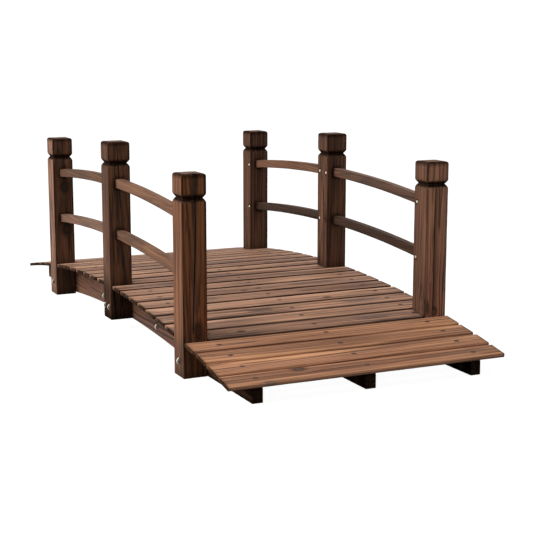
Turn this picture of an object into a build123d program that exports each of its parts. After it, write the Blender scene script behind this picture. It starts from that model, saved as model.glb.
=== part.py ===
from build123d import *

import os
from math import asin, cos, degrees, radians, sin, sqrt

# An arched garden footbridge in stained softwood: a slatted deck on three arched beams,
# with three posts and two rails a bay along each side. Carriage bolts hold posts, beams and
# splices together.
# X runs along the bridge, Y across it and Z up. The origin is on the ground, under the
# middle of the deck. The +X end is the front, and -Y is the left side.

# Deck
deck_width = 670.0
deck_crown = 118.5          # top of the deck at the middle, above the ground
deck_radius = 4140.0        # of the arc that the tops of the slats follow
slat_width = 53.5
slat_thickness = 9.0
slat_gap = 9.7              # open joint between two slats, along the arc
slat_round = 1.5            # rounding of a slat's long top edges
slats_per_bay = 7           # between two posts
slats_per_ramp = 4          # beyond an end post
slat_seat = 0.1             # a flat slat bears on the arc of the beams along its middle
slat_end_clearance = 0.5    # between a short slat and the posts beside it

# Posts
post_size = 57.5            # side of the square section
post_length = 450.0
middle_post_lift = 29.0     # bottom of the middle posts above the ground
post_edge_round = 2.0
post_top_chamfer = 6.0
cap_height = 53.0           # from the post's top down to the bottom of the groove's V
groove_height = 14.0
groove_depth = 6.0

# Beams
beam_thickness = 25.0
beam_setback = 10.0         # from the ramp's edge back to the beam's end
beam_end_chamfer = 6.0
arch_span = 1036.0          # between the feet, on the ground
arch_rise = 28.0            # of the arc under the beams
splice_length = 460.0
splice_thickness = 20.0
splice_bottom = 33.0        # above the ground
splice_height = 62.0

# Carriage bolts, each with its washer and nut
bolt_diameter = 6.0
bolt_hole_clearance = 0.2   # all round the shank
bolt_head_diameter = 15.0
bolt_head_rise = 5.0
washer_diameter = 13.0
washer_thickness = 1.6
nut_width = 10.0            # across its flats
nut_thickness = 5.0
bolt_tail = 3.0             # of the thread, beyond the nut
end_bolt_level = 35.0       # of the bolt in an end post, above the ground
middle_bolt_level = 61.0
middle_bolt_spacing = 31.0  # of the two bolts in a middle post
splice_bolt_level = 44.0
splice_bolt_inset = 23.0    # from the end of the splice

# Rails
rail_thickness = 20.0
rail_height = 23.0
rail_radius = 4700.0        # of each rail's centre line
upper_rail_level = 376.0    # centre line at the middle post, above the ground
lower_rail_level = 247.0
rail_chamfer = 1.5          # of its four long edges
tenon_length = 20.0         # of a rail's end, in its mortise
tenon_side_clearance = 0.3
tenon_height_clearance = 0.5

# Places that follow from them
slat_pitch = slat_width + slat_gap
post_slat_step = slats_per_bay + 1
slats_each_side = post_slat_step + slats_per_ramp
seat_radius = deck_radius - slat_thickness
beam_top_radius = seat_radius - slat_seat
deck_centre_z = deck_crown - deck_radius
post_y = (deck_width - post_size) / 2
post_inner_y = deck_width / 2 - post_size
beam_outer_y = post_inner_y
arch_radius = (arch_span ** 2 / 4 + arch_rise ** 2) / (2 * arch_rise)
arch_centre_z = arch_rise - arch_radius


def slat_angle(step):
    """Angle of the deck's arc, in radians from its crown, at a slat counted from the middle."""
    return step * slat_pitch / deck_radius


end_post_x = deck_radius * sin(slat_angle(post_slat_step))
last_slat_angle = slat_angle(slats_each_side)
ramp_tip_x = deck_radius * sin(last_slat_angle) + slat_width / 2 * cos(last_slat_angle)
beam_end_x = ramp_tip_x - beam_setback


def save(shape, name):
    shape.label = name
    export_step(shape, f"parts/{name}.step")


def disc_xz(centre_z, radius, thickness):
    """A disc that stands in the XZ plane, with its middle plane at Y = 0."""
    disc = extrude(Plane.XZ * Circle(radius), thickness / 2, both=True)
    return Pos(0, 0, centre_z) * disc


def box_between(x_low, x_high, y_low, y_high, z_low, z_high):
    corner = (Align.MIN, Align.MIN, Align.MIN)
    return Pos(x_low, y_low, z_low) * Box(x_high - x_low, y_high - y_low, z_high - z_low, align=corner)


def carriage_bolt(grip):
    """A bolt along Z: its dome rises from Z = 0, and its washer and nut are below the grip."""
    head_radius = bolt_head_diameter / 2
    dome_radius = (head_radius ** 2 + bolt_head_rise ** 2) / (2 * bolt_head_rise)
    hanging = (Align.CENTER, Align.CENTER, Align.MAX)
    ball = Pos(0, 0, bolt_head_rise - dome_radius) * Sphere(dome_radius)
    dome = ball & Pos(0, 0, bolt_head_rise / 2) * Cylinder(bolt_head_diameter, bolt_head_rise)
    shank_length = grip + washer_thickness + nut_thickness + bolt_tail
    shank = Cylinder(bolt_diameter / 2, shank_length, align=hanging)
    washer = Pos(0, 0, -grip) * Cylinder(washer_diameter / 2, washer_thickness, align=hanging)
    hexagon = RegularPolygon(nut_width / 2, 6, major_radius=False)
    nut = Pos(0, 0, -grip - washer_thickness - nut_thickness) * extrude(hexagon, nut_thickness)
    return dome + shank + washer + nut


def laid_bolt(x, head_y, z, side, grip):
    """A bolt that lies across the bridge, with its head looking to the given side."""
    return Pos(x, head_y, z) * Rot(-90 * side, 0, 0) * carriage_bolt(grip)


def drilled(body, places):
    """The body with a hole right through it across the bridge at each (x, z) place."""
    radius = bolt_diameter / 2 + bolt_hole_clearance
    for x, z in places:
        body -= Pos(x, 0, z) * Rot(90, 0, 0) * Cylinder(radius, 2 * deck_width)
    return body


def deck_slat(step):
    """A flat board that lies across the beams, tangent to the deck's arc."""
    beside_posts = abs(step) in (0, post_slat_step)
    length = 2 * (post_inner_y - slat_end_clearance) if beside_posts else deck_width
    board = Box(slat_width, length, slat_thickness, align=(Align.CENTER, Align.CENTER, Align.MAX))
    long_top_edges = board.edges().filter_by(Axis.Y).group_by(Axis.Z)[-1]
    board = fillet(long_top_edges, slat_round)
    upright = Pos(0, 0, deck_radius) * board
    return Pos(0, 0, deck_centre_z) * Rot(0, degrees(slat_angle(step)), 0) * upright


def post_outline():
    """Half the side view of a post, from its axis to the face, with groove and top chamfer."""
    half = post_size / 2
    neck = half - groove_depth
    groove_z = post_length - cap_height
    return [
        (0, 0),
        (half, 0),
        (half, groove_z - groove_height / 2),
        (neck, groove_z),
        (half, groove_z + groove_height / 2),
        (half, post_length - post_top_chamfer),
        (half - post_top_chamfer, post_length),
        (0, post_length),
    ]


def post_blank():
    """A square post: two side views crossed, inside a section with rounded edges."""
    half_view = make_face(Plane.XZ * Polyline(*post_outline(), close=True))
    half_slab = extrude(half_view, post_size / 2, both=True)
    slab = half_slab + mirror(half_slab, about=Plane.YZ)
    section = extrude(RectangleRounded(post_size, post_size, post_edge_round), post_length)
    return slab & (Rot(0, 0, 90) * slab) & section


def rail_drop(x):
    """How far a rail's centre line lies under its level at the middle post."""
    return rail_radius - sqrt(rail_radius ** 2 - x ** 2)


def tenon_pocket(post_x, bay_side, level):
    """The mortise for one rail, cut from the post's face on the bay's side (1 is +X, -1 is -X)."""
    face_x = post_x + bay_side * post_size / 2
    floor_x = face_x - bay_side * tenon_length
    heights = [level - rail_drop(face_x), level - rail_drop(floor_x)]
    half_height = rail_height / 2 + tenon_height_clearance
    half_width = rail_thickness / 2 + tenon_side_clearance
    return box_between(
        min(face_x, floor_x),
        max(face_x, floor_x),
        -half_width,
        half_width,
        min(heights) - half_height,
        max(heights) + half_height,
    )


def post(post_x, bottom_z, bay_sides, side, bolts):
    body = drilled(Pos(post_x, 0, bottom_z) * post_blank(), bolts)
    for bay_side in bay_sides:
        for level in (upper_rail_level, lower_rail_level):
            body -= tenon_pocket(post_x, bay_side, level)
    return Pos(0, side * post_y, 0) * body


def rail(level, end, side):
    """An arched rail of one bay, from mortise floor to mortise floor (end 1 is the front bay)."""
    inner_x = post_size / 2 - tenon_length
    outer_x = end_post_x - post_size / 2 + tenon_length
    square = Rectangle(rail_thickness, rail_height)
    section = Plane.YZ * Pos(0, rail_radius) * chamfer(square.vertices(), rail_chamfer)
    reach = degrees(asin(outer_x / (rail_radius - rail_height)))
    whole = revolve(section, Axis.Y, 2 * reach)
    arch = Pos(0, 0, level - rail_radius) * Rot(0, -reach, 0) * whole
    bay = box_between(inner_x, outer_x, -rail_thickness, rail_thickness, 0, level + rail_height)
    body = arch & bay
    if end < 0:
        body = mirror(body, about=Plane.YZ)
    return Pos(0, side * post_y, 0) * body


def beam_half(end):
    """Half an arched beam, from the middle of the bridge to its end, standing on a flat foot."""
    top = disc_xz(deck_centre_z, beam_top_radius, beam_thickness)
    arch = disc_xz(arch_centre_z, arch_radius, 2 * beam_thickness)
    half = beam_thickness / 2
    body = (box_between(0, beam_end_x, -half, half, 0, deck_crown) & top) - arch
    end_top_edge = body.edges().filter_by(Axis.Y).group_by(Axis.X)[-1].sort_by(Axis.Z)[-1]
    body = chamfer(end_top_edge, beam_end_chamfer)
    return body if end > 0 else mirror(body, about=Plane.YZ)


def splice_board(beam_y, side):
    """A board that joins two beam halves, on the beam's face that looks to the given side."""
    near = beam_y + side * beam_thickness / 2
    far = near + side * splice_thickness
    half_length = splice_length / 2
    top_z = splice_bottom + splice_height
    return box_between(-half_length, half_length, min(near, far), max(near, far), splice_bottom, top_z)


sides = {"left": -1, "right": 1}
ends = {"front": 1, "back": -1}
levels = {"upper": upper_rail_level, "lower": lower_rail_level}
outer_beam_y = beam_outer_y - beam_thickness / 2
beam_places = {"left": -outer_beam_y, "middle": 0, "right": outer_beam_y}
splice_sides = {"left": 1, "middle": 1, "right": -1}

# Places of the bolts, as (x, z)
end_bolts = {end: [(end * end_post_x, end_bolt_level)] for end in ends.values()}
middle_bolts = {end: [(end * middle_bolt_spacing / 2, middle_bolt_level)] for end in ends.values()}
splice_bolt_x = splice_length / 2 - splice_bolt_inset
splice_bolts = {end: [(end * splice_bolt_x, splice_bolt_level)] for end in ends.values()}
joint_bolts = middle_bolts[1] + middle_bolts[-1]
all_splice_bolts = splice_bolts[1] + splice_bolts[-1]
beam_grip = beam_thickness + splice_thickness

os.makedirs("parts", exist_ok=True)

for number, step in enumerate(range(-slats_each_side, slats_each_side + 1), start=1):
    save(deck_slat(step), f"deck_slat_{number:02d}")

for side_name, side in sides.items():
    save(post(0, middle_post_lift, (1, -1), side, joint_bolts), f"post_middle_{side_name}")
    for end_name, end in ends.items():
        name = f"{end_name}_{side_name}"
        save(post(end * end_post_x, 0, (-end,), side, end_bolts[end]), f"post_{name}")
        for level_name, level in levels.items():
            save(rail(level, end, side), f"rail_{level_name}_{name}")

for place, beam_y in beam_places.items():
    for end_name, end in ends.items():
        bolts = middle_bolts[end] + splice_bolts[end]
        if place != "middle":
            bolts = bolts + end_bolts[end]
        save(Pos(0, beam_y, 0) * drilled(beam_half(end), bolts), f"beam_{end_name}_{place}")
    joint = splice_board(beam_y, splice_sides[place])
    save(drilled(joint, joint_bolts + all_splice_bolts), f"splice_{place}")

for side_name, side in sides.items():
    head_y = side * deck_width / 2
    end_places = end_bolts[1] + end_bolts[-1]
    through_end_posts = [laid_bolt(x, head_y, z, side, post_size + beam_thickness) for x, z in end_places]
    through_joints = [laid_bolt(x, head_y, z, side, post_size + beam_grip) for x, z in joint_bolts]
    save(Compound(children=through_end_posts + through_joints), f"post_bolts_{side_name}")

for place, beam_y in beam_places.items():
    side = -splice_sides[place]
    head_y = beam_y + side * beam_thickness / 2
    places = all_splice_bolts + (joint_bolts if place == "middle" else [])
    bolts = [laid_bolt(x, head_y, z, side, beam_grip) for x, z in places]
    save(Compound(children=bolts), f"beam_bolts_{place}")
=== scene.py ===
import math
import random
from dataclasses import dataclass, field

import bmesh
import bpy
import numpy as np
from bpy.props import FloatProperty, FloatVectorProperty, PointerProperty
from mathutils import Matrix, Vector, noise


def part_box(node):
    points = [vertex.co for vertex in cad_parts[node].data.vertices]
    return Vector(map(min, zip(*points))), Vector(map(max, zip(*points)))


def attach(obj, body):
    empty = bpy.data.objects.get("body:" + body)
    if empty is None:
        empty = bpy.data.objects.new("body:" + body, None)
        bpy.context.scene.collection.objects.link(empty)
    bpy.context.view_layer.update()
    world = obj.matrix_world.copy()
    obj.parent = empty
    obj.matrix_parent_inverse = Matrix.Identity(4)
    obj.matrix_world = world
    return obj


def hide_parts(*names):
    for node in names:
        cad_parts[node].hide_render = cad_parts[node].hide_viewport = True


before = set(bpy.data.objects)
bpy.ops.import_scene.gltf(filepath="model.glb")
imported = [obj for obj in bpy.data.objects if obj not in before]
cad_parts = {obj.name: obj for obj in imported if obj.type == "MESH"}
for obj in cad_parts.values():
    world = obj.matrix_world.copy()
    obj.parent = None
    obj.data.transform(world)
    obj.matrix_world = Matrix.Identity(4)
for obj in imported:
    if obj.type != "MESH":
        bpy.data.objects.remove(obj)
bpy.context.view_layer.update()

bl_info = {
    "name": "Garden Footbridge",
    "version": (1, 0, 0),
    "blender": (4, 5, 0),
    "location": "3D View > Sidebar > Footbridge",
    "description": "Builds the boards, posts, rails, beams and fastenings of an arched garden footbridge",
    "category": "Object",
}

# The bridge stands with X along it, Y across it and Z up, in metres. +X is its front, -Y its left.
# These sizes shape what the boxes of the solids don't tell.
DECK_RADIUS = 4.140
SLAT_WIDTH = 0.0535
SLAT_THICKNESS = 0.009
CAP_HEIGHT = 0.053              # from a post's top down to the bottom of its groove
GROOVE_REACH = 0.010            # half the groove's height, with its rounded shoulders
GROOVE_DEPTH = 0.006
CAP_ROUND = 0.006
MORTISE_DEPTH = 0.020
RAIL_RADIUS = 4.700
RAIL_HEIGHT = 0.023
RAIL_THICKNESS = 0.020
ARCH_SPAN = 1.036
ARCH_RISE = 0.028
BEAM_TOP_RADIUS = DECK_RADIUS - SLAT_THICKNESS - 0.0001
BEAM_END_CHAMFER = 0.006

BOLT_RADIUS = 0.003
BOLT_HEAD_RADIUS = 0.0075
BOLT_HEAD_RISE = 0.005
BOLT_TAIL = 0.003
NUT_WIDTH = 0.010
NUT_THICKNESS = 0.005
WASHER_RADIUS = 0.0065
WASHER_THICKNESS = 0.0016
MIDDLE_BOLT_X = 0.0155
RAIL_SCREW_INSET = 0.011        # from a post's face on the rail's side to the screw in its tenon

SIDES = {"left": -1, "right": 1}
SLAT_NODES = sorted(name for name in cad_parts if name.startswith("deck_slat"))
POST_NODES = sorted(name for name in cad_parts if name.startswith("post") and "bolts" not in name)
RAIL_NODES = sorted(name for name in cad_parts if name.startswith("rail"))
BEAM_NODES = sorted(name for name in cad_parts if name.startswith("beam") and "bolts" not in name)
SPLICE_NODES = sorted(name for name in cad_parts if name.startswith("splice"))

# Every timber is made with X across it, Y along its grain and Z through it. These turn it into place.
UPRIGHT = Matrix(((0, 0, 1, 0), (1, 0, 0, 0), (0, 1, 0, 0), (0, 0, 0, 1)))
ON_EDGE = Matrix(((0, 1, 0, 0), (0, 0, 1, 0), (1, 0, 0, 0), (0, 0, 0, 1)))
ACROSS, ALONG, THROUGH = Vector((1, 0, 0)), Vector((0, 1, 0)), Vector((0, 0, 1))
SHARP = math.radians(38)        # edges that turn by more than this are sharp


# Sizes and colours ------------------------------------------------------------------------------


def length_setting(name, description, default):
    return FloatProperty(name=name, description=description, default=default, unit="LENGTH", precision=4)


def share_setting(name, description, default):
    return FloatProperty(name=name, description=description, default=default, min=0.0, soft_max=1.0)


def power_setting(name, description, default):
    return FloatProperty(name=name, description=description, default=default, unit="POWER")


def colour_setting(name, description, default):
    return FloatVectorProperty(
        name=name, description=description, default=default, subtype="COLOR", size=3, min=0.0, max=1.0
    )


def early_setting(default):
    return colour_setting("Soft rings", "Colour of the soft, pale part of each yearly ring", default)


def late_setting(default):
    return colour_setting("Hard rings", "Colour of the hard, dark part of each yearly ring", default)


def streak_setting(default):
    return share_setting("Dark streaks", "How strongly the scorched streaks show", default)


def golden_setting(default):
    return share_setting("Golden streaks", "How strongly pale golden streaks show", default)


def smudge_setting(default):
    return share_setting("Grey smudges", "How strongly grey smudges show in the stain", default)


def line_setting(default):
    return share_setting("Fine lines", "How strongly fine dark lines show along the grain", default)


class DeckWood(bpy.types.PropertyGroup):
    """The stain of the deck."""

    early: early_setting((0.610, 0.330, 0.212))
    late: late_setting((0.100, 0.046, 0.030))
    streaks: streak_setting(0.75)
    golden: golden_setting(0.60)
    smudges: smudge_setting(0.60)
    lines: line_setting(0.35)


class PostWood(bpy.types.PropertyGroup):
    """The stain of the posts."""

    early: early_setting((0.245, 0.114, 0.067))
    late: late_setting((0.040, 0.019, 0.012))
    streaks: streak_setting(0.60)
    golden: golden_setting(0.35)
    smudges: smudge_setting(0.25)
    lines: line_setting(0.75)


class RailWood(bpy.types.PropertyGroup):
    """The stain of the rails."""

    early: early_setting((0.34, 0.165, 0.092))
    late: late_setting((0.10, 0.046, 0.028))
    streaks: streak_setting(0.35)
    golden: golden_setting(0.25)
    smudges: smudge_setting(0.4)
    lines: line_setting(0.35)


class BeamWood(bpy.types.PropertyGroup):
    """The stain of the beams."""

    early: early_setting((0.240, 0.116, 0.074))
    late: late_setting((0.045, 0.022, 0.014))
    streaks: streak_setting(0.8)
    golden: golden_setting(0.45)
    smudges: smudge_setting(0.4)
    lines: line_setting(0.60)


class DeckSettings(bpy.types.PropertyGroup):
    """The slats that one walks on."""

    edge_round: length_setting("Edge rounding", "Radius of a slat's long top edges", 0.0016)
    end_play: length_setting("End play", "How far a slat's ends may fall short of its solid's", 0.0018)
    wave: length_setting("Surface wave", "How deep a slat's surface waves", 0.0005)


class PostSettings(bpy.types.PropertyGroup):
    """The six posts."""

    edge_round: length_setting("Edge rounding", "Radius of a post's long edges", 0.0014)
    wave: length_setting("Surface wave", "How deep a post's surface waves", 0.0005)


class FixingSettings(bpy.types.PropertyGroup):
    """Screws and bolts."""

    screw_head: length_setting("Screw head", "Diameter of the head of a screw", 0.0070)
    screw_depth: length_setting("Screw depth", "How deep the deck screws are sunk in the slats", 0.0008)
    zinc: colour_setting("Zinc", "Colour of the zinc-plated screws and bolts", (0.86, 0.81, 0.68))
    dark_steel: colour_setting("Dark steel", "Colour of the phosphated deck screws", (0.11, 0.082, 0.066))


class StageSettings(bpy.types.PropertyGroup):
    """Floor, lights and camera."""

    floor_colour: colour_setting("Floor", "Colour of the floor", (0.86, 0.86, 0.86))
    key_power: power_setting("Key light", "Power of the broad light on the left", 128.0)
    top_power: power_setting("Top light", "Power of the soft light overhead", 26.0)
    sky_strength: share_setting("Sky", "Strength of the even light from all round", 0.27)


class FootbridgeSettings(bpy.types.PropertyGroup):
    """All that a user may change on the bridge."""

    deck: PointerProperty(type=DeckSettings)
    posts: PointerProperty(type=PostSettings)
    fixings: PointerProperty(type=FixingSettings)
    stage: PointerProperty(type=StageSettings)
    deck_wood: PointerProperty(type=DeckWood)
    post_wood: PointerProperty(type=PostWood)
    rail_wood: PointerProperty(type=RailWood)
    beam_wood: PointerProperty(type=BeamWood)


# Finishes ---------------------------------------------------------------------------------------


BLACK = (0.012, 0.008, 0.006)           # of scorched wood
GOLDEN = (1.42, 1.50, 1.38)             # how much brighter the golden streaks are than the soft rings
STAIN_ON_STEEL = (0.030, 0.018, 0.011)
GREY_LIFT = 0.16                        # how far greyness spreads the smudges
STREAK_LIFT = 0.035                     # and the dark streaks and lines
RING_WIDTHS = {"deck_wood": 0.0052, "post_wood": 0.0048, "rail_wood": 0.0040, "beam_wood": 0.0050}
WOOD_ROUGHNESS = (0.74, 0.52)           # of the soft and the hard part of a ring
# Fine patterns along the grain: how much they draw out, their scale, detail and roughness
LOG_PATTERNS = {
    "fibre": (0.02, 330, 3, 0.6),
    "pores": (0.012, 1300, 1, 0.5),
    "cloud": (0.14, 16, 3, 0.6),
    "smudge": (0.09, 30, 4, 0.65),
}
BENT_PATTERNS = {                       # and those that flow round the knots
    "streak": (0.011, 150, 2, 0.6),
    "line": (0.007, 215, 1, 0.4),
    "flow": (0.028, 75, 2, 0.55),
}


class Layout:
    """A tree of shader nodes while it is being laid out."""

    def __init__(self, tree):
        self.tree = tree

    def node(self, kind, *values, **settings):
        """A node with its settings, whose inputs take the values in order. None leaves an input as it is."""
        made = self.tree.nodes.new("ShaderNode" + kind)
        for name, setting in settings.items():
            setattr(made, name, setting)
        for socket, value in zip([s for s in made.inputs if s.enabled], values):
            self.feed(socket, value)
        return made

    def feed(self, socket, value):
        if isinstance(value, bpy.types.NodeSocket):
            self.tree.links.new(value, socket)
        elif value is not None:
            socket.default_value = value

    def maths(self, operation, *values):
        return self.node("Math", *values, operation=operation).outputs[0]

    def white_to_the_eye(self, seen, lit, out):
        """One shader for what the camera and reflections see, and another for the light that falls."""
        path = self.node("LightPath").outputs
        eye = self.maths("MAXIMUM", path["Is Camera Ray"], path["Is Glossy Ray"])
        eye = self.maths("MAXIMUM", eye, path["Is Transmission Ray"])
        self.feed(out, self.node("MixShader", eye, lit, seen).outputs[0])


class Finish(Layout):
    """A material while its nodes are being laid out."""

    def __init__(self, name):
        self.material = bpy.data.materials.new(name)
        self.material.use_nodes = True
        super().__init__(self.material.node_tree)
        self.shader = self.tree.nodes["Principled BSDF"]

    def shade(self, **values):
        """Feeds the shader's inputs, whose names are given with _ for each space."""
        for name, value in values.items():
            self.feed(self.shader.inputs[name.replace("_", " ")], value)

    def plus(self, first, second):
        return self.maths("ADD", first, second)

    def minus(self, first, second):
        return self.maths("SUBTRACT", first, second)

    def times(self, first, second):
        return self.maths("MULTIPLY", first, second)

    def vector(self, operation, *values):
        made = self.node("VectorMath", *values, operation=operation)
        return next(s for s in made.outputs if s.enabled)

    def stretched(self, place, along):
        """A place in the log, with its way along the grain taken smaller, so that patterns draw out."""
        return self.vector("MULTIPLY", place, (1, along, 1))

    def shifted(self, place, noise, across, through):
        """A place moved by a noise, across the log and through it."""
        either_way = self.vector("SUBTRACT", noise, (0.5, 0.5, 0.5))
        return self.vector("ADD", place, self.vector("MULTIPLY", either_way, (across, 0, through)))

    def attribute(self, name, output="Fac"):
        return self.node("Attribute", attribute_name=name).outputs[output]

    def noise(self, place, scale, detail=2.0, roughness=0.5, output="Fac"):
        made = self.node("TexNoise")
        values = {"Vector": place, "Scale": scale, "Detail": detail, "Roughness": roughness}
        for name, value in values.items():
            self.feed(made.inputs[name], value)
        return made.outputs[output]

    def ramp(self, value, *stops):
        """A grey ramp through (place, brightness) stops."""
        made = self.node("ValToRGB", value)
        points = made.color_ramp.elements
        while len(points) < len(stops):
            points.new(1.0)
        for point, (place, brightness) in zip(points, stops):
            point.position = place
            point.color = (brightness, brightness, brightness, 1)
        return made.outputs["Color"]

    def band(self, value, low, high, to_low=0.0, to_high=1.0):
        """The value between two limits, eased from one result to the other."""
        made = self.node("MapRange", value, low, high, to_low, to_high, interpolation_type="SMOOTHSTEP")
        return made.outputs[0]

    def mix(self, share, first, second, blend="MIX"):
        made = self.node("Mix", data_type="RGBA", blend_type=blend)
        colours = [s for s in made.inputs if s.enabled]
        for socket, value in zip(colours, (share, first, second)):
            self.feed(socket, (*value, 1) if isinstance(value, tuple) and len(value) == 3 else value)
        return next(s for s in made.outputs if s.enabled)

    def bump(self, height, strength, distance):
        return self.node("Bump", strength, distance, None, height).outputs[0]


def knot_pattern(finish, attribute):
    """How far a point lies across a knot and from its middle, in the knot's size, and how much it counts."""
    place = finish.attribute(attribute, "Vector")
    across, _, into = finish.node("SeparateXYZ", place).outputs
    distance = finish.vector("LENGTH", finish.vector("MULTIPLY", place, (1, 1, 0)))
    inside = finish.band(finish.maths("ABSOLUTE", into), 0.85, 1.0, 1.0, 0.0)
    return across, distance, inside


def bent_log(wood, log, knots):
    """Places in a log whose rings wander a little along it, and flow round its knots."""
    drawn = wood.stretched(log, 0.07)
    wander = wood.noise(drawn, 11, 2, output="Color")
    ripple = wood.noise(drawn, 70, 2, output="Color")
    bent = wood.shifted(wood.shifted(log, wander, 0.022, 0.022), ripple, 0.003, 0.003)
    for across, distance, inside in knots:
        spread = wood.maths("DIVIDE", inside, wood.maths("MAXIMUM", wood.maths("POWER", distance, 2.0), 1.0))
        push = wood.times(wood.times(across, spread), -0.007)
        bent = wood.vector("ADD", bent, wood.node("CombineXYZ", push, 0, 0).outputs[0])
    return bent


def hard_rings(wood, bent, ring_width):
    """The share of hard wood at a place in the log: each ring darkens outwards, some more than others."""
    radius = wood.vector("LENGTH", wood.vector("MULTIPLY", bent, (1, 0, 1)))
    uneven = wood.noise(wood.node("CombineXYZ", radius, 0, 0).outputs[0], 55, 1)
    count = wood.plus(wood.maths("DIVIDE", radius, ring_width), wood.times(uneven, 2.4))
    in_ring = wood.maths("FRACT", count)
    year = wood.node("TexWhiteNoise", wood.maths("FLOOR", count), noise_dimensions="1D").outputs["Value"]
    late = wood.ramp(in_ring, (0.0, 0.15), (0.10, 0.0), (0.50, 0.10), (0.78, 0.85), (0.90, 1.0), (1.0, 0.2))
    return wood.times(late, wood.band(year, 0.0, 1.0, 0.35, 1.0))


def grain_patterns(wood, log, bent):
    """The fine patterns of the wood and its stain, by name."""
    return {
        name: wood.noise(wood.stretched(place, along), *noise_values)
        for place, patterns in ((log, LOG_PATTERNS), (bent, BENT_PATTERNS))
        for name, (along, *noise_values) in patterns.items()
    }


def grain_colour(wood, look, late, patterns, greyness):
    """The colour of the wood where it has no knots or marks."""
    soft, hard = tuple(look.early), tuple(look.late)
    golden = tuple(min(1.0, share * c) for share, c in zip(GOLDEN, soft))
    grey = tuple(0.36 * (0.5 * c + 0.5 * sum(soft) / 3) for c in soft)
    smudge = wood.plus(patterns["smudge"], wood.times(greyness, GREY_LIFT))
    more = wood.times(greyness, STREAK_LIFT)
    streak = wood.plus(patterns["streak"], more)
    line = wood.plus(patterns["line"], more)
    colour = wood.mix(late, soft, hard)
    colour = wood.mix(wood.band(patterns["fibre"], 0.38, 0.70, 0.0, 0.40), colour, hard)
    colour = wood.mix(wood.band(patterns["cloud"], 0.42, 0.68, 0.0, 0.35), colour, hard)
    colour = wood.mix(wood.band(patterns["flow"], 0.50, 0.68, 0.0, look.golden), colour, golden)
    colour = wood.mix(wood.band(smudge, 0.58, 0.74, 0.0, look.smudges), colour, grey)
    colour = wood.mix(wood.band(streak, 0.575, 0.635, 0.0, look.streaks), colour, BLACK)
    return wood.mix(wood.band(line, 0.63, 0.66, 0.0, look.lines), colour, BLACK)


def add_knot(wood, look, colour, knot, uneven):
    """The colour with a knot over it, and the knot's rim: a dark ringed heart, a black rim and a halo."""
    _, distance, inside = knot
    broken = wood.plus(distance, wood.times(uneven, 0.7))
    halo = wood.times(wood.band(broken, 1.0, 2.3, 0.75, 0.0), inside)
    heart = wood.times(wood.band(broken, 0.80, 1.05, 1.0, 0.0), inside)
    rings = wood.band(wood.maths("SINE", wood.times(broken, 13.0)), -1.0, 1.0, 0.35, 0.85)
    from_rim = wood.maths("ABSOLUTE", wood.minus(broken, 0.95))
    rim = wood.times(wood.band(from_rim, 0.0, 0.22, 0.9, 0.0), inside)
    colour = wood.mix(halo, colour, tuple(look.late))
    colour = wood.mix(heart, colour, wood.mix(rings, tuple(0.4 * c for c in look.early), BLACK))
    return wood.mix(rim, colour, BLACK), rim


def add_dark_line(wood, colour):
    """The colour with the timber's black line over it: a dark streak, and painted shade inside a drying
    crack where one follows it.
    """
    _, distance, inside = knot_pattern(wood, "dark_streak_and_crack_shade")
    # Painted shade inside a post's drying crack is part of this black line.
    return wood.mix(wood.times(wood.band(distance, 0.55, 1.25, 0.92, 0.0), inside), colour, BLACK)


def add_screw_marks(wood, colour, uneven):
    """The colour with the dark round the deck screws: torn wood, and painted shade in their seats."""
    mark = wood.attribute("screw_mark", "Vector")
    near = wood.node("SeparateXYZ", mark).outputs[2]
    from_screw = wood.vector("LENGTH", wood.vector("MULTIPLY", mark, (1, 1, 0)))
    torn = wood.plus(from_screw, wood.times(uneven, 1.6))
    # Torn wood and painted shade in the screws' seats, mixed towards black.
    return wood.mix(wood.times(wood.band(torn, 0.6, 1.5, 0.85, 0.0), near), colour, BLACK)


def stained_wood(name, look, ring_width):
    """Scorched and stained softwood, from the grain's place in the log that each timber carries, with the
    painted light and shade that it carries too.
    """
    wood = Finish(name)
    log = wood.attribute("log_place", "Vector")
    # The tone and warmth also carry painted light and shade, lighter or darker by the way a face looks.
    tone, greyness, warmth = wood.node("SeparateXYZ", wood.attribute("stain", "Vector")).outputs
    knots = [knot_pattern(wood, knot) for knot in ("knot_1", "knot_2")]
    bent = bent_log(wood, log, knots)
    late = hard_rings(wood, bent, ring_width)
    patterns = grain_patterns(wood, log, bent)
    fibre, pores, flow = (patterns[pattern] for pattern in ("fibre", "pores", "flow"))
    uneven = wood.minus(fibre, 0.5)

    colour = grain_colour(wood, look, late, patterns, greyness)
    rims = []
    for knot in knots:
        colour, rim = add_knot(wood, look, colour, knot, uneven)
        rims.append(rim)
    colour = add_dark_line(wood, colour)
    colour = add_screw_marks(wood, colour, uneven)
    # Scorch, and painted shade under and between the timbers, mixes black into the colour.
    scorch = wood.times(wood.attribute("scorch"), wood.band(fibre, 0.25, 0.60, 0.80, 1.0))
    colour = wood.mix(scorch, colour, BLACK)
    # Pale rubbed edges: wear, and a painted highlight along the slats' back edges.
    rubbed_and_highlit = wood.times(wood.attribute("wear"), wood.band(flow, 0.36, 0.58, 0.15, 1.0))
    colour = wood.mix(rubbed_and_highlit, colour, tuple(min(1.0, c * 1.45 + 0.02) for c in look.early))
    colour = wood.node("HueSaturation", None, warmth, tone, None, colour).outputs[0]

    relief = wood.plus(wood.times(late, 0.5), wood.times(fibre, 0.6))
    relief = wood.plus(relief, wood.times(pores, 0.25))
    relief = wood.minus(relief, wood.times(wood.maths("MAXIMUM", *rims), 0.8))
    wood.shade(
        Base_Color=colour,
        Roughness=wood.band(late, 0.0, 1.0, *WOOD_ROUGHNESS),
        Normal=wood.bump(relief, 0.55, 0.0005),
        Specular_IOR_Level=wood.band(scorch, 0.0, 0.8, 0.14, 0.0),
    )
    return wood.material


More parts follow.
